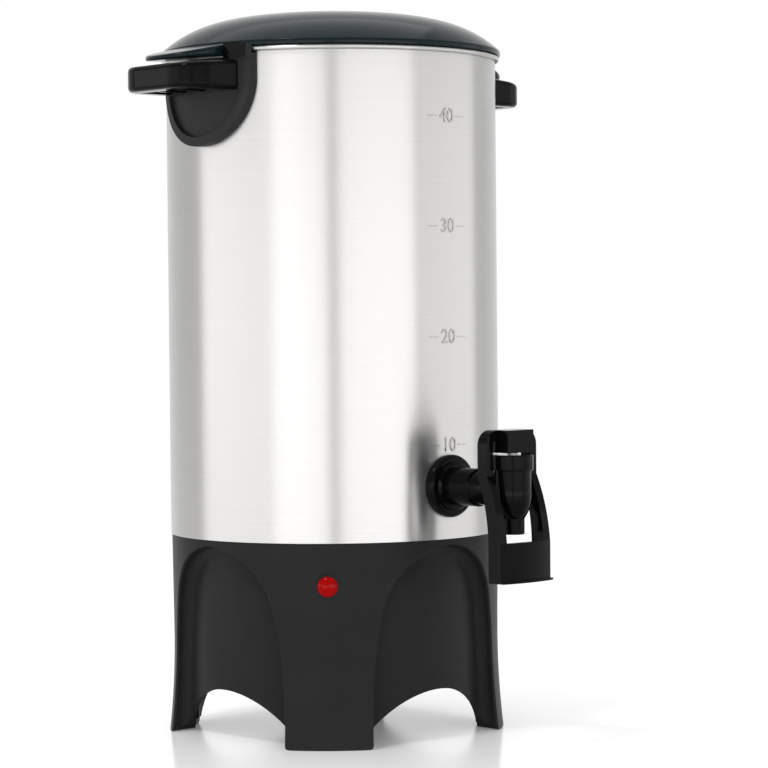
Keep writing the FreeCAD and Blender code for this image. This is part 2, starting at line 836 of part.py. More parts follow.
# Pilot lens pressed into its hole, and the lamp pushed into the lens's barrel
pilotLens = revolved(
    "pilot_lens",
    [
        (lampRadius, -pilotBarrelLong),
        (pilotBarrelRadius, -pilotBarrelLong),
        (pilotBarrelRadius, 0),
        (pilotLensRadius, 0, archRadius(pilotLensRadius, pilotDome)),
        (0, pilotDome),
        (0, -pilotWall),
        (lampRadius, -pilotWall),
    ],
)
keep(placeRadial(pilotLens, pilotFace - dimpleDepth, pilotHeight, footAngle + 180))
lampBack = pilotFace - dimpleDepth - pilotBarrelLong + lampSink - lampLong
keep(radialRod("pilot_lamp", lampRadius, lampBack, lampLong, pilotHeight, footAngle + 180))

# Power inlet in the foot opposite the lamp: a shrouded socket with two round pins
shroud = stadium("inlet_shroud", inletWide, inletTall, inletDeep)
placeRadial(shroud, inletFace - inletDeep, inletHeight, footAngle)
brim = stadium("inlet_brim", inletWide + inletFlange * 2, inletTall + inletFlange * 2, inletFlangeThick)
placeRadial(brim, inletFace, inletHeight, footAngle)
cavity = stadium("inlet_cavity", inletWide - inletWall * 2, inletTall - inletWall * 2, inletDeep + inletFlangeThick)
placeRadial(cavity, inletFace - inletDeep + inletWall, inletHeight, footAngle)
pins = []
pinHoles = []
for side in (-1, 1):
    for label, bunch in (("inlet_pin", pins), ("inlet_pin_hole", pinHoles)):
        pin = cylinder("%s_%d" % (label, side), pinRadius, pinLong + pinTail + inletWall)
        back = inletFace - inletDeep - pinTail
        placeRadial(pin, back, inletHeight, footAngle)
        offset = pinSpacing / 2 * side
        bind(pin, ".Placement.Base.x", back * cosine(footAngle) - offset * sine(footAngle))
        bind(pin, ".Placement.Base.y", back * sine(footAngle) + offset * cosine(footAngle))
        bunch.append(pin)
keep(cut("inlet_housing", fuse("inlet_body", shroud, brim), cavity, *pinHoles))
keep(group("inlet_pins", pins))


# One side handle, made at +X: a shield that hugs the tank, a dished face, a D-shaped grip with
# finger hollows, and beside the ear a stop for the lid
def shieldPrism(label, half, low, high):
    return padded(
        label,
        "YZ_Plane",
        [(-half, high), (-half, low, half), (0, low - half, half), (half, low), (half, high)],
        tankRadius / 2,
        tankRadius,
    )


def handle(label, turn):
    outer = tankRadius + shieldThick
    shield = common(
        label + "_shield",
        ring(label + "_band", tankRadius, outer, shieldBend - shieldHalf * 2, shieldTop),
        shieldPrism(label + "_outline", shieldHalf, shieldBend, shieldTop),
    )
    dish = common(
        label + "_dish",
        ring(label + "_dish_band", outer - dishDepth, outer * 2, shieldBend - shieldHalf * 2, gripLow),
        shieldPrism(label + "_dish_outline", shieldHalf - shieldBorder, shieldBend, shieldTop),
    )
    straight = gripReach - gripCorner
    gripSlab = padded(
        label + "_slab",
        "XY_Plane",
        [
            (tankRadius - shieldThick, -gripHalf),
            (straight, -gripHalf, gripCorner),
            (gripReach, -gripHalf + gripCorner),
            (gripReach, gripHalf - gripCorner, gripCorner),
            (straight, gripHalf),
            (tankRadius - shieldThick, gripHalf),
        ],
        gripLow,
        shieldTop - gripLow,
    )
    slope = padded(
        label + "_slope",
        "XZ_Plane",
        [
            (tankRadius - shieldThick, gripRootTop),
            (gripReach, gripTipTop),
            (gripReach + shieldThick, gripTipTop),
            (gripReach + shieldThick, stopTop),
            (tankRadius - shieldThick, stopTop),
        ],
        -gripHalf * 2,
        gripHalf * 4,
    )
    gripCut = cut(label + "_grip_cut", gripSlab, slope)

    def isGripEdge(edge, middle):
        return middle.x > outer.value + 1 and (edge.BoundBox.ZLength < 8)

    grip = rounded(label + "_grip", gripCut, gripRound, isGripEdge)
    fingers = []
    for i in (-1, 0, 1):
        finger = cylinder("%s_finger_%d" % (label, i), fingerRadius, gripReach - outer - gripRound * 4)
        place(finger, outer, fingerPitch * i, gripLow - fingerRadius + fingerDepth, (0, 1, 0), 90)
        fingers.append(finger)
    stopOutline = [
        (stopStart, gripLow),
        (stopStart + stopWide, gripLow),
        (stopStart + stopWide, lugLow),
        (stopStart + stopWide + lugWide, lugLow),
        (stopStart + stopWide + lugWide, stopTop - rimGap),
        (stopStart + stopWide, stopTop - rimGap),
        (stopStart + stopWide, stopTop),
        (stopStart, stopTop),
    ]
    stop = common(
        label + "_stop",
        padded(label + "_stop_outline", "YZ_Plane", stopOutline, tankRadius / 2, tankRadius),
        ring(label + "_stop_band", tankRadius, tankRadius + stopThick, gripLow, stopTop),
    )
    clearance = [
        cylinder(label + "_tank_clear", tankRadius, rimTop * 2),
        ring(label + "_rim_clear", tankRadius / 2, lidEdgeRadius + rimGap / 2, beadHeight - beadRadius - rimGap, stopTop * 2),
    ]
    holes = [
        radialRod("%s_screw_hole_%d" % (label, side), handleScrewRadius + screwGap, tankRadius / 2,
                  tankRadius / 2 + handleScrewLong, handleScrewHeight, handleScrewAngle * side)
        for side in (-1, 1)
    ]
    whole = fuse(label + "_whole", cut(label + "_dished", shield, dish), grip, stop)
    result = cut(label, whole, *fingers, *clearance, *holes)
    place(result, 0, 0, 0, (0, 0, 1), turn)
    return result


keep(handle("right_handle", 0))
keep(handle("left_handle", 180))

# Handle screws, put in from inside the tank
handleScrews = []
for turn in (0, 180):
    for side in (-1, 1):
        screw = revolved(
            "handle_screw_%d_%d" % (turn, side),
            [
                (0, -screwHeadTall),
                (handleScrewHead, -screwHeadTall),
                (handleScrewHead, 0),
                (handleScrewRadius, 0),
                (handleScrewRadius, handleScrewLong - rimGap),
                (0, handleScrewLong - rimGap),
            ],
        )
        placeRadial(screw, reach(wallInner, handleScrewHead), handleScrewHeight, handleScrewAngle * side + turn)
        handleScrews.append(screw)
keep(group("handle_screws", handleScrews))

# Lid: a domed shell with a skirt for the seal, and two ears that lie over the grips
lidDome = revolved(
    "lid_dome",
    [
        (0, lidApex - lidThick),
        (lidCrownHalf, lidCrownLow - lidThick, -lidShoulderBend + lidThick),
        (lidEdgeRadius - lidThick, lidEdgeTop - lidThick / 2),
        (lidEdgeRadius - lidThick, lidLow),
        (lidEdgeRadius, lidLow),
        (lidEdgeRadius, lidEdgeTop, lidShoulderBend),
        (lidCrownHalf, lidCrownLow, archRadius(lidCrownHalf, lidCrownDrop)),
        (0, lidApex),
    ],
)
lidSkirt = ring("lid_skirt", skirtRadius - skirtThick, skirtRadius, lidLow - skirtDeep, lidLow + skirtTall)
ears = []
for turn in (0, 180):
    earBow = archRadius(earHalf, earReach - tankRadius - shieldThick)
    earPlan = cylinder("ear_plan_%d" % turn, earBow, rimTop)
    place(earPlan, earReach - earBow, 0, lidLow / 2)
    earSide = padded(
        "ear_side_%d" % turn,
        "XZ_Plane",
        [
            (skirtRadius, lidLow + earLap),
            (lidEdgeRadius + rimGap / 2, lidLow + earLap),
            (lidEdgeRadius + rimGap / 2, lidLow - earRootLow),
            (earReach + rimGap, lidLow - earTipLow),
            (earReach + rimGap, lidLow - earTipTop, earBend),
            (lidEdgeRadius, lidLow + earRootTop),
            (skirtRadius, lidLow + earRootTop),
        ],
        -earHalf * 2,
        earHalf * 4,
    )
    earBlank = common("ear_blank_%d" % turn, earPlan, earSide)

    def isEarEdge(edge, middle):
        return middle.x > lidEdgeRadius.value + 3

    ear = rounded("ear_%d" % turn, earBlank, earRound, isEarEdge)
    place(ear, 0, 0, 0, (0, 0, 1), turn)
    ears.append(ear)
lipMiddle = cylinder("lip_middle", lidEdgeRadius - lidThick / 2, lidApex)
keep(fuse("lid_shell", lidDome, lidSkirt, *[cut("ear_trim_%d" % i, ear, lipMiddle) for i, ear in enumerate(ears)]))
sealInner = skirtRadius + sealGap
sealOuter = wallInner - sealTankGap
keep(revolved(
    "lid_seal",
    [
        (sealInner, sealTop - sealDeep),
        (sealOuter - sealHold * 3, sealTop - sealDeep),
        (sealOuter, sealTop - sealDeep / 2),
        (sealOuter - sealHold * 2, sealTop - sealHold),
        (sealInner, sealTop - sealHold),
    ],
))


# Tap: its pieces are made about their own axes, the shank along -Y and the barrel upright
def placeTapAxis(thing):
    return place(thing, 0, 0, tapHeight, (1, 0, 0), 90)


def placeBarrel(thing):
    return place(thing, 0, -barrelPlace, 0)


shank = placeTapAxis(revolved(
    "shank",
    [
        (shankBore, threadEnd),
        (threadRadius, threadEnd),
        (threadRadius, flangeFace),
        (shankRadius, flangeFace),
        (shankRadius, shankStep),
        (shankNeckRadius, shankStep + rimGap / 2),
        (shankNeckRadius, barrelPlace - chamberRadius),
        (shankBore, barrelPlace - chamberRadius),
    ],
))
barrel = placeBarrel(revolved(
    "barrel",
    [
        (0, nozzleLow),
        (nozzleRadius, nozzleLow),
        (nozzleRadius, nozzleTop, bulbBend),
        (bulbRadius, bulbWaist),
        (bulbRadius, collarLow),
        (neckRadius, collarLow),
        (neckRadius, collarTop - collarRoof - cupRimThick),
        (0, collarTop - collarRoof - cupRimThick),
    ],
))
shankBoreRod = radialRod("shank_bore_rod", shankBore, threadEnd, barrelPlace - threadEnd, tapHeight, 270)
chamber = placeBarrel(revolved(
    "chamber",
    [
        (0, nozzleLow - rimGap),
        (nozzleBore, nozzleLow - rimGap),
        (nozzleBore, seatHeight),
        (chamberRadius, seatHeight),
        (chamberRadius, collarTop),
        (0, collarTop),
    ],
))
keep(cut("tap_body", fuse("tap_solid", shank, barrel), shankBoreRod, chamber))
flangeBlank = placeTapAxis(revolved(
    "flange_blank",
    [
        (threadRadius, wallInner - flangeThick),
        (flangeRadius, wallInner - flangeThick),
        (flangeRadius, flangeFace - flangeEdge, flangeEdge * 1.2),
        (flangeRadius - flangeEdge, flangeFace - rimGap / 2),
        (flangeStep, flangeFace - rimGap / 2),
        (flangeStep, flangeFace + rimGap / 2),
        (flangeRing, flangeFace + rimGap * 1.5),
        (shankRadius, flangeFace + rimGap * 1.5),
        (shankRadius, flangeFace),
        (threadRadius, flangeFace),
    ],
))
tankSolid = cylinder("tank_solid", tankRadius, rimTop)
keep(cut("tap_flange", flangeBlank, tankSolid))
gasketBlank = placeTapAxis(ring("gasket_blank", threadRadius, gasketRadius, nutFace, tankRadius + gasketThick))
tankInside = cylinder("tank_inside", wallInner, rimTop)
keep(common("tap_inner_gasket", gasketBlank, tankInside))
nutSolid = placeTapAxis(hexagon("tap_nut_blank", tapNutFlats, nutFace - tapNutThick, tapNutThick))
nutHole = radialRod("tap_nut_hole", threadRadius, nutFace - tapNutThick, tapNutThick, tapHeight, 270)
keep(cut("tap_nut", nutSolid, nutHole))
keep(placeBarrel(revolved(
    "tap_bonnet",
    [
        (neckRadius, collarLow),
        (collarRadius - collarEdge / 2, collarLow),
        (collarRadius, collarLow + collarEdge),
        (collarRadius, collarTop - collarEdge, collarEdge),
        (collarRadius - collarEdge, collarTop),
        (stemRadius + stemGap, collarTop),
        (stemRadius + stemGap, collarTop - collarRoof),
        (neckRadius, collarTop - collarRoof),
    ],
)))

# Valve: a rubber cup closes the nozzle, a stem lifts it and a spring pushes it back
cupCeiling = collarTop - collarRoof
cupRim = neckRadius - screwGap
keep(placeBarrel(revolved(
    "seat_cup",
    [
        (0, seatHeight),
        (cupRadius, seatHeight),
        (cupRadius, cupCeiling - cupRimThick),
        (cupRim, cupCeiling - cupRimThick),
        (cupRim, cupCeiling),
        (cupRadius - cupWall, cupCeiling),
        (cupRadius - cupWall, seatHeight + cupFoot),
        (0, seatHeight + cupFoot),
    ],
)))
stemFoot = seatHeight + cupFoot
stemBlank = placeBarrel(revolved(
    "stem_blank",
    [
        (0, stemFoot),
        (stemFootRadius, stemFoot),
        (stemFootRadius, stemFoot + stemFootThick),
        (stemRadius, stemFoot + stemFootThick),
        (stemRadius, stemTop),
        (0, stemTop),
    ],
))
pinHole = cylinder("stem_pin_hole", leverPinRadius, stemRadius * 4)
place(pinHole, -stemRadius * 2, -barrelPlace, pivotHeight, (0, 1, 0), 90)
keep(cut("tap_stem", stemBlank, pinHole))
springLow = stemFoot + stemFootThick + springSeatGap
springHigh = cupCeiling - springSeatGap
keep(placeBarrel(ring("tap_spring", springCoil - springWire / 2, springCoil + springWire / 2, springLow, springHigh)))
leverPin = cylinder("lever_pin", leverPinRadius, leverPinHalf * 2)
place(leverPin, -leverPinHalf, -barrelPlace, pivotHeight, (0, 1, 0), 90)
keep(leverPin)

# Tap lever: a stirrup of two swept straps, a bridge with the pivot block, and the push panel
innerHalf = leverHalf - strapThick
bridge = padded(
    "bridge",
    "XZ_Plane",
    [
        (leverHalf, strapKnee),
        (leverHalf, leverTop - leverCorner, leverCorner),
        (leverHalf - leverCorner, leverTop),
        (leverCorner - leverHalf, leverTop, leverCorner),
        (-leverHalf, leverTop - leverCorner),
        (-leverHalf, strapKnee),
        (-innerHalf, strapKnee),
        (-innerHalf, bridgeLow),
        (-blockHalf, bridgeLow),
        (-blockHalf, blockLow),
        (blockHalf, blockLow),
        (blockHalf, bridgeLow),
        (innerHalf, bridgeLow),
        (innerHalf, strapKnee),
    ],
    strapBack,
    strapFront - strapBack,
)
block = padded(
    "block",
    "XZ_Plane",
    [(-blockHalf, blockLow), (blockHalf, blockLow), (blockHalf, leverTop), (-blockHalf, leverTop)],
    strapBack,
    blockFront - strapBack,
)
straps = []
for side in (-1, 1):
    strapStart = innerHalf if side > 0 else -leverHalf
    straps.append(padded(
        "strap_%d" % side,
        "YZ_Plane",
        [
            (-strapBack, strapKnee),
            (-strapBack, strapKnee + leverCorner),
            (-strapFront, strapKnee + leverCorner),
            (-strapFront, strapKnee, strapBend),
            (-strapFootFront, strapFoot),
            (-strapFootFront, panelLow),
            (-strapFootBack, panelLow),
            (-strapFootBack, strapFoot, -strapBend),
        ],
        strapStart,
        strapThick,
    ))
bow = archRadius(leverHalf, panelBow)
panel = padded(
    "panel",
    "XY_Plane",
    [
        (-leverHalf, -strapFootFront, bow),
        (leverHalf, -strapFootFront),
        (leverHalf, -strapFootFront + panelThick, -bow),
        (-leverHalf, -strapFootFront + panelThick),
    ],
    panelLow,
    panelTop - panelLow,
)
lip = padded(
    "panel_lip",
    "XY_Plane",
    [
        (-leverHalf, -strapFootFront - panelLip, bow),
        (leverHalf, -strapFootFront - panelLip),
        (leverHalf, -strapFootFront + panelThick),
        (-leverHalf, -strapFootFront + panelThick),
    ],
    panelLow,
    panelLipThick,
)
slotHalf = stemRadius + blockSlotGap
stemSlot = padded(
    "stem_slot",
    "XZ_Plane",
    [
        (-slotHalf, blockLow - rimGap),
        (slotHalf, blockLow - rimGap),
        (slotHalf, leverTop - slotRoof),
        (-slotHalf, leverTop - slotRoof),
    ],
    barrelPlace - slotBack,
    slotBack + slotFront,
)
leverPinHole = cylinder("lever_pin_hole", leverPinRadius + leverPinGap, leverPinHalf * 2)
place(leverPinHole, -leverPinHalf, -barrelPlace, pivotHeight, (0, 1, 0), 90)
keep(cut("tap_lever", fuse("lever_solid", bridge, block, *straps, panel, lip), stemSlot, leverPinHole))

# Percolator: a pump foot in the well, a tube, a sieve basket on a collar and its cover
pumpLow = wellUnder + wallThick + pumpFootGap
tube = ring("pump_pipe", pumpRadius - pumpWall, pumpRadius, pumpLow + sheetThick, pumpTop)
tubeCollar = ring("pump_collar", pumpRadius - pumpWall, pumpRadius + collarBrim, basketLow - sheetThick * 2, basketLow)
keep(fuse("pump_tube", tube, tubeCollar))
keep(revolved(
    "pump_foot",
    [
        (pumpRadius, pumpLow + pumpFootHigh),
        (pumpRadius, pumpLow + pumpFootHigh / 2),
        (pumpFootRadius - sheetThick, pumpLow + sheetThick),
        (pumpFootRadius - sheetThick, pumpLow),
        (pumpFootRadius, pumpLow),
        (pumpFootRadius, pumpLow + sheetThick * 2),
        (pumpRadius + sheetThick, pumpLow + pumpFootHigh / 2 + sheetThick * 2),
        (pumpRadius + sheetThick, pumpLow + pumpFootHigh),
    ],
))
sleeve = pumpRadius + basketGap
basketTop = basketLow + basketTall
basketBlank = revolved(
    "basket_blank",
    [
        (sleeve, basketLow),
        (basketRadius, basketLow),
        (basketRadius, basketTop),
        (basketRadius - sheetThick, basketTop),
        (basketRadius - sheetThick, basketLow + sheetThick),
        (sleeve + sheetThick, basketLow + sheetThick),
        (sleeve + sheetThick, basketLow + sleeveTall),
        (sleeve, basketLow + sleeveTall),
    ],
)
keep(cut("coffee_basket", basketBlank, sieve("basket_sieve", basketLow - sheetThick, sheetThick * 3)))
lidBlank = revolved(
    "cover_blank",
    [
        (sleeve, basketTop),
        (basketRadius + basketGap, basketTop),
        (basketRadius + basketGap, basketTop - coverBrim),
        (basketRadius + basketGap + sheetThick, basketTop - coverBrim),
        (basketRadius + basketGap + sheetThick, basketTop + sheetThick),
        (sleeve, basketTop + sheetThick),
    ],
)
keep(cut("basket_cover", lidBlank, sieve("cover_sieve", basketTop - sheetThick, sheetThick * 3)))

doc.recompute()

# Every object has to be sound before a file is written
broken = [thing.Label for thing in doc.Objects if "Invalid" in thing.State or "Error" in thing.State]
if broken:
    raise RuntimeError("did not recompute: " + ", ".join(broken))
os.makedirs("parts", exist_ok=True)
for node in nodes:
    if node.Shape.isNull() or not node.Shape.isValid():
        raise RuntimeError(node.Label + " is not a valid shape")
    node.Shape.exportStep("parts/%s.step" % node.Label)
    print(node.Label, len(node.Shape.Solids), round(node.Shape.Volume, 1))
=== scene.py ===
import math

import bmesh
import bpy
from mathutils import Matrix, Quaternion, Vector


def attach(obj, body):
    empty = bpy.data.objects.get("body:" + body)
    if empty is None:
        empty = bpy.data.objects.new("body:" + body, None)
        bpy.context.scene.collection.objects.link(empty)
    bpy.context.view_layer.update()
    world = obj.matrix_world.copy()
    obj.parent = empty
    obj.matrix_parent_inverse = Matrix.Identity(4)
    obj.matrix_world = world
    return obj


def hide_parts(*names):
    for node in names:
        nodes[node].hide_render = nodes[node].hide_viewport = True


# Coffee urn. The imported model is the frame, and the pieces below dress it: the tank's axis is Z, the tap
# points to -Y and the handles to -X and +X. Settings of pieces and patterns are in millimetres, and
# those of the floor, lamps and camera in metres.

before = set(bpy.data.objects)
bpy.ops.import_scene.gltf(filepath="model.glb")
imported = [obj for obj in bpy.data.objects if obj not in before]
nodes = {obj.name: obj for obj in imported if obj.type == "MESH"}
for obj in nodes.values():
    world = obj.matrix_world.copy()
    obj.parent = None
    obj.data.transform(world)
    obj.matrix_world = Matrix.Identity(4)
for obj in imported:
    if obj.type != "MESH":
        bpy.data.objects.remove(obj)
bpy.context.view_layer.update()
mm = 0.001
reliefDepth = 0.05 * mm  # of the finest grain and brush lines


# An sRGB hex value as a linear colour
def hexColour(code):
    parts = [int(code[i:i + 2], 16) / 255 for i in (1, 3, 5)]
    return tuple(p / 12.92 if p <= 0.04045 else ((p + 0.055) / 1.055) ** 2.4 for p in parts) + (1.0,)


# A setting goes to the node's input of that name or number, or else to the node itself
def addNode(tree, kind, settings, links):
    node = tree.nodes.new(kind)
    for name, value in settings.items():
        if isinstance(name, int) or name in node.inputs:
            node.inputs[name].default_value = value
        else:
            setattr(node, name, value)
    for name, socket in links.items():
        tree.links.new(socket, node.inputs[name])
    return node


def newMaterial(name, settings):
    material = bpy.data.materials.new(name)
    material.use_nodes = True
    tree = material.node_tree
    shader = tree.nodes["Principled BSDF"]
    for socket, value in settings.items():
        shader.inputs[socket].default_value = value
    return material, tree, shader


# Colour and roughness go from one end of the settings to the other with the pattern, and the grain is
# the surface's fine relief
def dressSurface(tree, shader, settings, pattern, grain):
    tone = addNode(tree, "ShaderNodeMix", {"data_type": "RGBA", 6: hexColour(settings["dark"]),
                                           7: hexColour(settings["colour"])}, {0: pattern})
    tree.links.new(tone.outputs[2], shader.inputs["Base Color"])
    low, high = settings["roughness"]
    rough = addNode(tree, "ShaderNodeMapRange", {"To Min": low, "To Max": high}, {"Value": pattern})
    tree.links.new(rough.outputs["Result"], shader.inputs["Roughness"])
    relief = addNode(tree, "ShaderNodeBump", {"Strength": settings["relief"], "Distance": reliefDepth},
                     {"Height": grain})
    tree.links.new(relief.outputs["Normal"], shader.inputs["Normal"])


# Brushed metal: streaks lengthMm long and lineMm wide run round the Z axis. The anisotropy is turned by
# a quarter, so that reflections are drawn out upwards, across the brushing.
def brushedMetal(name, settings):
    material, tree, shader = newMaterial(name, {"Metallic": 1.0, "Anisotropic": 0.8,
                                                "Anisotropic Rotation": 0.25})
    place = addNode(tree, "ShaderNodeTexCoord", {}, {})
    along = 1 / (settings["lengthMm"] * mm)
    across = 1 / (settings["lineMm"] * mm)
    stretch = addNode(tree, "ShaderNodeMapping", {"Scale": (along, along, across)},
                      {"Vector": place.outputs["Object"]})
    lines = addNode(tree, "ShaderNodeTexNoise", {"Scale": 1.0, "Detail": 4.0, "Roughness": 0.7},
                    {"Vector": stretch.outputs["Vector"]})
    dressSurface(tree, shader, settings, lines.outputs["Fac"], lines.outputs["Fac"])
    around = addNode(tree, "ShaderNodeTangent", {"direction_type": "RADIAL", "axis": "Z"}, {})
    tree.links.new(around.outputs["Tangent"], shader.inputs["Tangent"])
    return material


# Moulded plastic or rubber: a faint cloud in the colour and gloss, and a grain in the surface. The grain
# is drawn a few times as coarse as the real one, so that it shows.
def mouldedPlastic(name, settings):
    material, tree, shader = newMaterial(name, {"IOR": settings["ior"],
                                                "Specular IOR Level": settings["shine"]})
    place = addNode(tree, "ShaderNodeTexCoord", {}, {})
    cloud = addNode(tree, "ShaderNodeTexNoise", {"Scale": 1 / (settings["cloudMm"] * mm), "Detail": 3.0},
                    {"Vector": place.outputs["Object"]})
    grain = addNode(tree, "ShaderNodeTexNoise", {"Scale": 1 / (settings["grainMm"] * mm), "Detail": 2.0},
                    {"Vector": place.outputs["Object"]})
    dressSurface(tree, shader, settings, cloud.outputs["Fac"], grain.outputs["Fac"])
    return material


# A handle moulding: polished, but satin where it is nearer to the tank's axis than the border
def mouldedHandle(name, settings):
    material = mouldedPlastic(name, settings["grip"])
    tree = material.node_tree
    shader = tree.nodes["Principled BSDF"]
    place = addNode(tree, "ShaderNodeTexCoord", {}, {})
    flat = addNode(tree, "ShaderNodeVectorMath", {"operation": "MULTIPLY", 1: (1, 1, 0)},
                   {0: place.outputs["Object"]})
    reach = addNode(tree, "ShaderNodeVectorMath", {"operation": "LENGTH"}, {0: flat.outputs["Vector"]})
    near, far = settings["border"]
    shield = addNode(tree, "ShaderNodeMapRange", {"From Min": far * mm, "From Max": near * mm},
                     {"Value": reach.outputs["Value"]})
    tone = addNode(tree, "ShaderNodeMix", {"data_type": "RGBA", 7: hexColour(settings["satin"])},
                   {0: shield.outputs["Result"], 6: shader.inputs["Base Color"].links[0].from_socket})
    tree.links.new(tone.outputs[2], shader.inputs["Base Color"])
    rough = addNode(tree, "ShaderNodeMix", {"data_type": "FLOAT", 3: settings["dull"]},
                    {0: shield.outputs["Result"], 2: shader.inputs["Roughness"].links[0].from_socket})
    tree.links.new(rough.outputs[0], shader.inputs["Roughness"])
    return material


# Stainless steel sheet, brushed round the tank: fine level lines and tall soft streaks of light. The
# lines are drawn a few times as wide as the real ones.
steelSettings = {"colour": "#B2B1B0", "dark": "#A5A4A3", "roughness": (0.28, 0.36), "lineMm": 0.8,
                 "lengthMm": 70, "relief": 0.12}
steel = brushedMetal("brushedStainlessSteel", steelSettings)

# The same sheet where the marks stand out, a little greyer: painted shade for the marks' edges, which turn
# from the light
markSteelPaintedShade = brushedMetal("pressedSteelMarksPaintedShade", dict(steelSettings, colour="#A3A2A1", dark="#969594"))

# Phenolic of the base, pressed in a blasted mould: an even dark grey with broad dull reflections
satinPlastic = mouldedPlastic("satinPhenolic", {
    "colour": "#242425", "dark": "#1C1C1D", "ior": 1.5, "shine": 0.05, "roughness": (0.36, 0.44),
    "cloudMm": 25, "grainMm": 0.9, "relief": 0.12})

# Phenolic of the tap, pressed in a polished mould: nearly black, with narrow reflections
glossSettings = {"colour": "#080809", "dark": "#060607", "ior": 1.5, "shine": 0.05,
                 "roughness": (0.10, 0.15), "cloudMm": 18, "grainMm": 2.5, "relief": 0.03}
glossPlastic = mouldedPlastic("glossPhenolic", glossSettings)

# Phenolic of the handles: a polished black grip on a satin grey shield
handlePlastic = mouldedHandle("polishedHandlePhenolic", {
    "border": (96.8, 97.8), "satin": "#2B2B2C", "dull": 0.42, "grip": glossSettings})

# Polypropylene of the lid, moulded glossy: black with a cold green-blue cast and soft clear reflections
lidPlastic = mouldedPlastic("glossLidPlastic", {
    "colour": "#101D21", "dark": "#0D171A", "ior": 1.5, "shine": 0.08, "roughness": (0.12, 0.17),
    "cloudMm": 30, "grainMm": 3.0, "relief": 0.03})

# Silicone rubber of the seals, moulded: milky off-white and soft
rubber = mouldedPlastic("siliconeRubber", {
    "colour": "#CFCDC4", "dark": "#BFBDB3", "ior": 1.42, "shine": 0.5, "roughness": (0.45, 0.55),
    "cloudMm": 12, "grainMm": 0.6, "relief": 0.1})

# Resin of the thermostat's body, pressed: dull brown
brownPlastic = mouldedPlastic("thermostatResin", {
    "colour": "#3B2A20", "dark": "#2E2018", "ior": 1.55, "shine": 0.4, "roughness": (0.40, 0.50),
    "cloudMm": 6, "grainMm": 0.4, "relief": 0.1})

# Acrylic of the pilot light, moulded: deep red with a small bright reflection
redPlastic = mouldedPlastic("redLensPlastic", {
    "colour": "#9E0101", "dark": "#7C0000", "ior": 1.49, "shine": 0.06, "roughness": (0.08, 0.14),
    "cloudMm": 3, "grainMm": 1.5, "relief": 0.02})

# Zinc plated steel of screws, nuts and other small parts: pale grey with short streaks
zinc = brushedMetal("zincPlatedSteel", {
    "colour": "#B9B8B2", "dark": "#9A9992", "roughness": (0.30, 0.45), "lineMm": 0.5, "lengthMm": 2,
    "relief": 0.12})

# Brass of the inlet's pins, turned: yellow with fine lines
brass = brushedMetal("plainBrass", {
    "colour": "#C9A24B", "dark": "#AA873B", "roughness": (0.22, 0.34), "lineMm": 0.4, "lengthMm": 3,
    "relief": 0.12})

# Aluminium of the heater, cast: mid grey, rough and blotched, so its streaks are as wide as long
aluminium = brushedMetal("castAluminium", {
    "colour": "#A9A9A9", "dark": "#8C8C8C", "roughness": (0.45, 0.60), "lineMm": 1.2, "lengthMm": 1.2,
    "relief": 0.12})
print("materials made")

# The solids' finishes; one that isn't named here is zinc plated
nodeFinish = {
    "tank_wall": steel, "tank_bottom": steel, "pump_tube": steel, "pump_foot": steel,
    "coffee_basket": steel, "basket_cover": steel, "base_shell": satinPlastic, "base_cover": satinPlastic,
    "inlet_housing": satinPlastic, "right_handle": handlePlastic, "left_handle": handlePlastic,
    "lid_shell": lidPlastic, "lid_seal": rubber, "tap_body": glossPlastic, "tap_flange": glossPlastic,
    "tap_bonnet": glossPlastic, "tap_lever": glossPlastic, "tap_nut": glossPlastic,
    "tap_inner_gasket": rubber, "seat_cup": rubber, "pilot_lens": redPlastic, "pilot_lamp": redPlastic,
    "inlet_pins": brass, "thermostat": brownPlastic, "heater_ring": aluminium,
}
for name, solid in nodes.items():
    solid.data.materials.clear()
    solid.data.materials.append(nodeFinish.get(name, zinc))
    solid.data.shade_smooth()
print("frame finished:", len(nodes), "nodes")

# How new meshes are cleaned: points nearer than "merge" become one, a face keeps no two corners nearer
# than "thin", and an edge that turns by more than "sharp" degrees isn't smoothed over
meshSettings = {"merge": 0.01, "thin": 0.02, "sharp": 50}


def addMesh(name, points, faces, material, body, replaced=()):
    mesh = bpy.data.meshes.new(name)
    mesh.from_pydata([tuple(p) for p in points], [], faces)
    shell = bmesh.new()
    shell.from_mesh(mesh)
    bmesh.ops.remove_doubles(shell, verts=shell.verts, dist=meshSettings["merge"] * mm)
    bmesh.ops.recalc_face_normals(shell, faces=shell.faces)
    shell.to_mesh(mesh)
    shell.free()
    mesh.shade_smooth()
    mesh.set_sharp_from_angle(angle=math.radians(meshSettings["sharp"]))
    mesh.materials.append(material)
    piece = bpy.data.objects.new(name, mesh)
    bpy.context.scene.collection.objects.link(piece)
    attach(piece, body)
    if replaced:
        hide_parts(*replaced)


# Faces without corners that fall together, as they do at a tip
def tidyFaces(corners, faces):
    kept = []
    for face in faces:
        spots = []
        for index in face:
            if all((corners[index] - corners[other]).length > meshSettings["thin"] * mm for other in spots):
                spots.append(index)
        if len(spots) > 2:
            kept.append(spots)
    return kept


# Points of an arc from one (x, y) to another; a positive bend has its centre on the left
def arcPoints(start, end, bend, steps):
    start, end = Vector(start), Vector(end)
    middle = (start + end) / 2
    half = (end - start).length / 2
    along = (end - start).normalized()
    side = 1 if bend > 0 else -1
    centre = middle + Vector((-along.y, along.x)) * side * math.sqrt(bend * bend - half * half)
    first = start - centre
    sweep = 2 * math.asin(half / abs(bend)) * side
    points = []
    for i in range(steps + 1):
        turn = sweep * i / steps
        points.append(centre + Vector((first.x * math.cos(turn) - first.y * math.sin(turn),
                                       first.x * math.sin(turn) + first.y * math.cos(turn))))
    return points


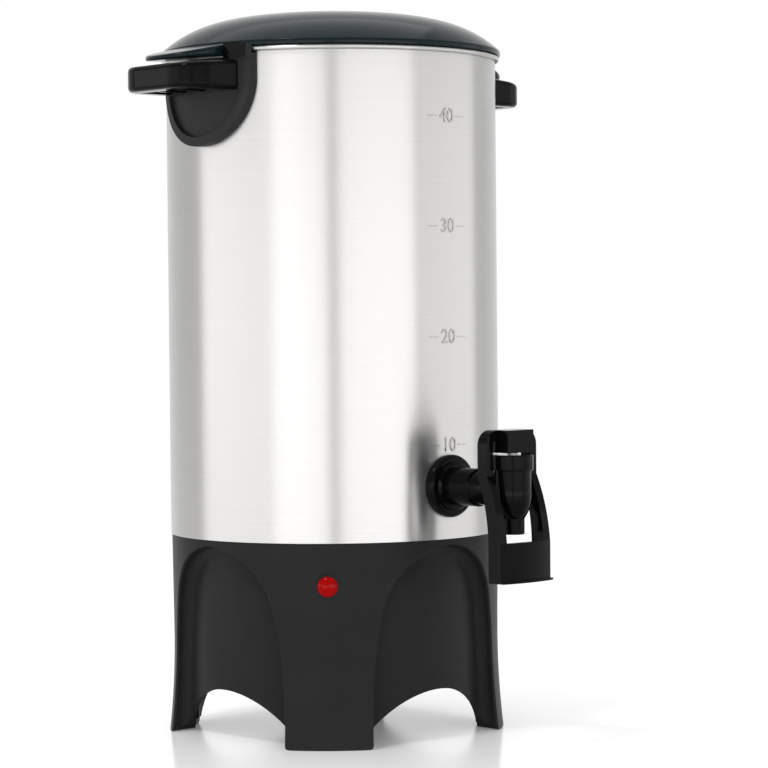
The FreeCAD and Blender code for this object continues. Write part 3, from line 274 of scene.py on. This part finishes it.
# An outline of (x, y, rounding) corners, with each rounded corner turned into a short arc
def roundedOutline(corners, steps=5):
    points = []
    count = len(corners)
    for i, (x, y, rounding) in enumerate(corners):
        corner = Vector((x, y))
        if not rounding:
            points.append(corner)
            continue
        back = (Vector(corners[i - 1][:2]) - corner).normalized()
        ahead = (Vector(corners[(i + 1) % count][:2]) - corner).normalized()
        opening = back.angle(ahead)
        reach = rounding / math.tan(opening / 2)
        turn = back.x * ahead.y - back.y * ahead.x
        bend = -rounding if turn > 0 else rounding
        points += arcPoints(corner + back * reach, corner + ahead * reach, bend, steps)
    return points


# A piece turned round Z from a closed outline of (radius, height) points
def turnedPiece(name, outline, steps, material, body, replaced):
    ring = len(outline)
    corners = []
    faces = []
    for i in range(steps):
        turn = 2 * math.pi * i / steps
        for radius, height in outline:
            corners.append(Vector((radius * math.cos(turn), radius * math.sin(turn), height)) * mm)
    for i in range(steps):
        here = i * ring
        there = (i + 1) % steps * ring
        for j in range(ring):
            k = (j + 1) % ring
            faces.append((here + j, there + j, there + k, here + k))
    addMesh(name, corners, tidyFaces(corners, faces), material, body, replaced)


# The tank: a sheet tube, with a rim rolled outwards whose wire bead is "bead" in radius
tankSettings = {"radius": 90.0, "wall": 0.8, "low": 107.6, "rimTop": 365.9, "bead": 1.3, "beadReach": 2.2,
                "beadGap": 2.0, "wallSteps": 24, "beadSteps": 12, "rimSteps": 5, "roundSteps": 256}


def makeTank(s):
    inner = s["radius"] - s["wall"]
    beadX = s["radius"] + s["beadReach"] - s["bead"]
    beadZ = s["rimTop"] - s["bead"]
    start = math.asin((beadX - s["radius"]) / s["bead"])
    tall = beadZ - s["beadGap"] - s["low"]
    outline = [(inner, s["low"])]
    for i in range(s["wallSteps"] + 1):
        outline.append((s["radius"], s["low"] + tall * i / s["wallSteps"]))
    for i in range(s["beadSteps"] + 1):
        turn = -math.pi + start + (math.pi * 1.5 - start) * i / s["beadSteps"]
        outline.append((beadX + s["bead"] * math.cos(turn), beadZ + s["bead"] * math.sin(turn)))
    rim = beadX - inner
    outline += arcPoints((beadX, s["rimTop"]), (inner, s["rimTop"] - rim), rim, s["rimSteps"])
    turnedPiece("tank", outline, s["roundSteps"], steel, "urn", ("tank_wall",))


makeTank(tankSettings)

# Level marks, pressed out of the wall above the tap: a number between two dashes. "proud" is how far
# they stand out, "soft" is the rounding of their edges, "thin" is the share of it that a stroke gives
# up, and "fontScale" is a font's size for figures of height 1.
markSettings = {"numbers": ("40", "30", "20", "10"), "heights": (329.9, 272.2, 214.0, 157.0), "tall": 7.5,
                "fontScale": 1.38, "proud": 0.15, "soft": 0.3, "thin": 0.6, "curveSteps": 4,
                "dashLong": 6.0, "dashTall": 0.9, "dashPlace": 10.0}


def makeNumber(s, number):
    text = bpy.data.curves.new("text" + number, "FONT")
    text.body = number
    text.size = s["tall"] * s["fontScale"] * mm
    text.align_x = "CENTER"
    text.align_y = "CENTER"
    text.extrude = s["proud"] * mm
    text.bevel_depth = s["soft"] * mm
    text.offset = -s["soft"] * mm * s["thin"]
    text.resolution_u = s["curveSteps"]
    writing = bpy.data.objects.new("writing" + number, text)
    bpy.context.scene.collection.objects.link(writing)
    bpy.context.view_layer.update()
    flat = bpy.data.meshes.new_from_object(writing)
    bpy.data.objects.remove(writing)
    return flat


def makeMarks(s):
    radius = tankSettings["radius"] * mm
    for number, height in zip(s["numbers"], s["heights"]):
        shape = bmesh.new()
        shape.from_mesh(makeNumber(s, number))
        for side in (-1, 1):
            bar = bmesh.ops.create_cube(shape, size=1.0)["verts"]
            for vert in bar:
                vert.co = Vector((vert.co.x * s["dashLong"] + s["dashPlace"] * side,
                                  vert.co.y * s["dashTall"], vert.co.z * s["proud"] * 2)) * mm
        for vert in shape.verts:
            x, y, z = vert.co
            turn = x / radius
            vert.co = Vector((math.sin(turn) * (radius + z), -math.cos(turn) * (radius + z),
                              height * mm + y))
        mesh = bpy.data.meshes.new("mark" + number)
        shape.to_mesh(mesh)
        shape.free()
        # The marks' steel is a little greyer than the wall's: painted shade on their edges
        mesh.materials.append(markSteelPaintedShade)
        mark = bpy.data.objects.new("level_mark_" + number, mesh)
        bpy.context.scene.collection.objects.link(mark)
        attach(mark, "urn")


makeMarks(markSettings)
print("tank made")

# The lid: a dome over a lip, and a skirt that goes into the tank. From the apex the dome falls by a part
# "flat" with the square of the way out and by the rest with its power "fall". "shoulder" is the slope
# where the lip's rounding meets the dome, "rise" lifts the dome's start to it, and "inside" is the
# dome's inner face.
lidSettings = {"low": 366.2, "edge": 92.8, "lip": 2.6, "lowRound": 0.5, "topRound": 0.9,
               "shoulder": (3.0, 2.2), "rise": 0.75, "apex": 389.3, "flat": 0.27, "fall": 5,
               "domeSteps": 40, "tip": 0.01, "inside": ((0.01, 385.2), (45.0, 385.2), (63.6, 381.0)),
               "insideLow": 374.3, "skirt": 86.0, "skirtWall": 2.0, "skirtDeep": 4.6, "roundSteps": 192}


def makeLid(s):
    edgeTop = s["low"] + s["lip"]
    drop = s["apex"] - edgeTop - s["rise"]
    inner = s["skirt"] - s["skirtWall"]
    foot = s["low"] - s["skirtDeep"]
    inward, upward = s["shoulder"]
    lip = roundedOutline([(s["skirt"], s["low"], 0), (s["edge"], s["low"], s["lowRound"]),
                          (s["edge"], edgeTop, s["topRound"]), (s["edge"] - inward, edgeTop + upward, 0)])
    outline = [(inner, foot), (s["skirt"], foot), (s["skirt"], s["low"])] + lip[1:-1]
    for i in range(s["domeSteps"] + 1):
        share = math.cos(math.pi / 2 * i / s["domeSteps"])
        fallen = s["flat"] * share ** 2 + (1 - s["flat"]) * share ** s["fall"]
        outline.append((max((s["edge"] - s["topRound"]) * share, s["tip"]), s["apex"] - drop * fallen))
    outline += list(s["inside"]) + [(inner, s["insideLow"])]
    turnedPiece("lid_dome", outline, s["roundSteps"], lidPlastic, "lid", ("lid_shell",))


makeLid(lidSettings)

# The lid's ears, which lie over the grips: round plates that fall towards their tips. "root" is where
# the plate is "half" wide to each side, "inside" is the radius of its end in the lid, "spread" and
# "insideSpread" are half the angles of the two arcs, and "crown" gives shares of the plan and the
# height of the top there.
earSettings = {"tip": 123.0, "half": 21.5, "root": 95.0, "inside": 91.0, "spread": 118,
               "insideSpread": 11, "planSteps": 48, "insideSteps": 8, "top": 367.7, "tipTop": 361.2,
               "low": 361.3, "tipLow": 359.2, "inLid": 2.0, "lowRound": 0.4, "topRound": 1.4,
               "roundSteps": 5, "lowShare": 0.6, "crown": ((0.8, 0.15), (0.5, 0.35), (0.0, 0.5))}


def makeEar(s, side):
    reach = s["tip"] - s["root"]
    bow = (s["half"] ** 2 + reach ** 2) / (2 * reach)
    centre = s["tip"] - bow
    plan = []
    for i in range(s["planSteps"] + 1):
        turn = math.radians(-s["spread"] + 2 * s["spread"] * i / s["planSteps"])
        plan.append(Vector((centre + bow * math.cos(turn), bow * math.sin(turn))))
    for i in range(s["insideSteps"] + 1):
        turn = math.radians(s["insideSpread"] - 2 * s["insideSpread"] * i / s["insideSteps"])
        plan.append(Vector((s["inside"] * math.cos(turn), s["inside"] * math.sin(turn))))
    lidEdge = lidSettings["edge"]
    slope = (s["top"] - s["tipTop"]) / (s["tip"] - lidEdge)
    underSlope = (s["low"] - s["tipLow"]) / (s["tip"] - lidEdge)
    low, top = s["lowRound"], s["topRound"]
    rows = [(0.0, "low", 0), (s["lowShare"], "low", 0), (1 - low / bow, "low", 0), (1.0, "low", low)]
    for i in range(s["roundSteps"] + 1):
        turn = math.pi / 2 * i / s["roundSteps"]
        rows.append((1 - top * (1 - math.cos(turn)) / bow, "top", -top * (1 - math.sin(turn))))
    rows += [(share, "top", lift) for share, lift in s["crown"]]
    pivot = Vector((centre, 0))
    corners = []
    for share, face, lift in rows:
        for spot in plan:
            flat = pivot + (spot - pivot) * share
            along = max(flat.x - lidEdge, -s["inLid"])
            height = s["top"] - slope * along if face == "top" else s["low"] - underSlope * along
            corners.append(Vector((flat.x * side, flat.y * side, height + lift)) * mm)
    count = len(plan)
    faces = []
    for row in range(len(rows) - 1):
        here = row * count
        above = here + count
        for i in range(count):
            k = (i + 1) % count
            faces.append((here + i, here + k, above + k, above + i))
    name = "lid_ear_right" if side > 0 else "lid_ear_left"
    addMesh(name, corners, tidyFaces(corners, faces), lidPlastic, "lid")


for side in (-1, 1):
    makeEar(earSettings, side)
print("lid made")


# 1 for a ray that shows the background: from the camera, off metal or gloss, or through glass
def seenRays(tree):
    path = addNode(tree, "ShaderNodeLightPath", {}, {})
    direct = addNode(tree, "ShaderNodeMath", {"operation": "MAXIMUM"},
                     {0: path.outputs["Is Camera Ray"], 1: path.outputs["Is Glossy Ray"]})
    seen = addNode(tree, "ShaderNodeMath", {"operation": "MAXIMUM"},
                   {0: direct.outputs[0], 1: path.outputs["Is Transmission Ray"]})
    return seen.outputs[0]


# The floor: a white lacquered table top with a faint reflection. Its glow lifts it to the background's
# white and leaves the shadow in.
floorSettings = {"colour": "#FFFFFF", "size": 12.0, "below": 0.00005, "glow": 0.12, "roughness": 0.16,
                 "ior": 1.35}


def makeFloor(s):
    half = s["size"] / 2
    mesh = bpy.data.meshes.new("floor")
    mesh.from_pydata([(-half, -half, 0), (half, -half, 0), (half, half, 0), (-half, half, 0)], [],
                     [(0, 1, 2, 3)])
    floor = bpy.data.objects.new("floor", mesh)
    bpy.context.scene.collection.objects.link(floor)
    floor.location.z = -s["below"]
    material, tree, shader = newMaterial("whiteTable", {
        "Base Color": hexColour(s["colour"]), "Roughness": s["roughness"], "IOR": s["ior"],
        "Emission Color": (1, 1, 1, 1)})
    glow = addNode(tree, "ShaderNodeMath", {"operation": "MULTIPLY", 1: s["glow"]}, {0: seenRays(tree)})
    tree.links.new(glow.outputs[0], shader.inputs["Emission Strength"])
    mesh.materials.append(material)


# The world: white where it is seen, and a plain soft light on everything
worldSettings = {"seen": 1.0, "light": 0.64}


def makeWorld(s):
    world = bpy.data.worlds.new("studio")
    bpy.context.scene.world = world
    world.use_nodes = True
    tree = world.node_tree
    sky = tree.nodes["Background"]
    sky.inputs["Color"].default_value = (1, 1, 1, 1)
    level = addNode(tree, "ShaderNodeMapRange", {"To Min": s["light"], "To Max": s["seen"]},
                    {"Value": seenRays(tree)})
    tree.links.new(level.outputs["Result"], sky.inputs["Strength"])


# Each lamp: its turn round the urn from the tap's side in degrees, its distance and height, its width
# and height, and its brightness. The two near strips leave a gap where the camera stands, which is the
# dark streak in the steel.
lampSettings = {
    "left_near": {"turn": -64.8, "far": 1.9, "height": 0.26, "size": (1.35, 0.44), "bright": 3.8},
    "left_far": {"turn": -114.0, "far": 1.9, "height": 0.31, "size": (2.10, 0.58), "bright": 2.1},
    "right_near": {"turn": -11.5, "far": 1.9, "height": 0.26, "size": (1.95, 0.44), "bright": 3.8},
    "right_far": {"turn": 45.0, "far": 1.9, "height": 0.31, "size": (1.9, 0.58), "bright": 1.3},
    "top": {"turn": 150.0, "far": 0.4, "height": 1.7, "size": (1.5, 1.5), "bright": 0.9},
    "key": {"turn": -82.0, "far": 1.0, "height": 1.55, "size": (0.30, 0.22), "bright": 36.0},
}
lampAim = Vector((0, 0, 0.25))


def makeLamps(settings):
    for name, s in settings.items():
        wide, tall = s["size"]
        lamp = bpy.data.lights.new(name, "AREA")
        lamp.shape = "RECTANGLE"
        lamp.size = wide
        lamp.size_y = tall
        lamp.energy = s["bright"] * math.pi * wide * tall
        stand = bpy.data.objects.new("lamp_" + name, lamp)
        bpy.context.scene.collection.objects.link(stand)
        turn = math.radians(s["turn"])
        stand.location = (math.sin(turn) * s["far"], -math.cos(turn) * s["far"], s["height"])
        stand.rotation_mode = "QUATERNION"
        stand.rotation_quaternion = (lampAim - stand.location).to_track_quat("-Z", "Y")
        stand.visible_camera = False


# The camera: its turn round the urn from the tap's side, its distance and height, its lens in mm, and
# the degrees that it looks aside from the urn's axis, down and tilted
cameraSettings = {"turn": -42.3, "far": 1.521, "height": 0.2286, "lens": 129.7, "sensor": 36.0,
                  "aside": 1.04, "pitch": 1.54, "roll": 0.53, "clip": (0.05, 50)}


def makeCamera(s):
    camera = bpy.data.cameras.new("camera")
    camera.lens = s["lens"]
    camera.sensor_width = s["sensor"]
    camera.clip_start, camera.clip_end = s["clip"]
    stand = bpy.data.objects.new("camera", camera)
    bpy.context.scene.collection.objects.link(stand)
    turn = math.radians(s["turn"])
    pitch = math.radians(s["pitch"])
    look = turn - math.radians(s["aside"])
    forward = Vector((-math.sin(look) * math.cos(pitch), math.cos(look) * math.cos(pitch),
                      -math.sin(pitch)))
    tilt = Quaternion((0, 0, 1), -math.radians(s["roll"]))
    stand.rotation_mode = "QUATERNION"
    stand.rotation_quaternion = forward.to_track_quat("-Z", "Y") @ tilt
    stand.location = (math.sin(turn) * s["far"], -math.cos(turn) * s["far"], s["height"])
    bpy.context.scene.camera = stand


makeFloor(floorSettings)
makeWorld(worldSettings)
makeLamps(lampSettings)
makeCamera(cameraSettings)
bpy.context.scene.view_settings.view_transform = "Standard"
print("stage made")

bpy.context.view_layer.update()
